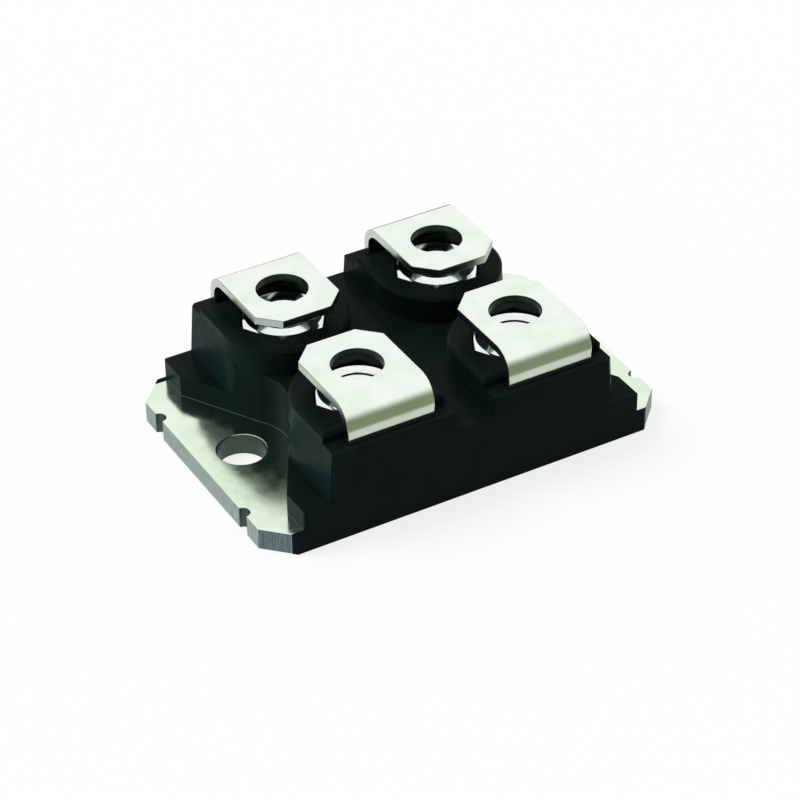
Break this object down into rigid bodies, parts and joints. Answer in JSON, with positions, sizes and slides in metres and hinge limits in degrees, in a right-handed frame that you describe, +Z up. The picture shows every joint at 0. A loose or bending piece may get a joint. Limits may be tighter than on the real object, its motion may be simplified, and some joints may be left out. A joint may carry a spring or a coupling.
{
  "type": "power mosfet module",
  "caption": "Isolated power transistor module: black moulded housing on a metal base plate, with bent screw terminals over captive nuts and end holes for bolting to a heat sink.",
  "frame": {"origin": "middle of the underside of the base plate", "axes": "+X along the module through both mounting holes, +Y across it, +Z up through the terminals"},
  "size_m": [0.038, 0.0252, 0.0119],
  "materials": {
    "plate_nickel": "satin nickel plating on copper",
    "terminal_nickel": "satin nickel plating on copper",
    "nut_steel": "plated steel",
    "housing_black": "fine moulded texture",
    "adhesive": "matte",
    "solder": "satin",
    "copper": "bare copper",
    "ceramic": "unglazed",
    "silicon": "polished",
    "bond_wire": "drawn",
    "gel": "clear soft gel"
  },
  "bodies": {
    "root": {"base_plate": "plate_nickel", "housing": "housing_black", "sealing_adhesive": "adhesive", "terminal_drain": "terminal_nickel", "terminal_source": "terminal_nickel", "terminal_gate": "terminal_nickel", "terminal_source_sense": "terminal_nickel", "captive_nuts": "nut_steel", "substrate_solder": "solder", "substrate_bottom_copper": "copper", "ceramic_tile": "ceramic", "drain_pad": "copper", "source_pad": "copper", "gate_pad": "copper", "source_sense_pad": "copper", "terminal_solder": "solder", "die_solder": "solder", "mosfet_die": "silicon", "source_bond_wires": "bond_wire", "gate_bond_wire": "bond_wire", "source_sense_bond_wire": "bond_wire", "silicone_gel": "gel"}
  },
  "joints": []
}
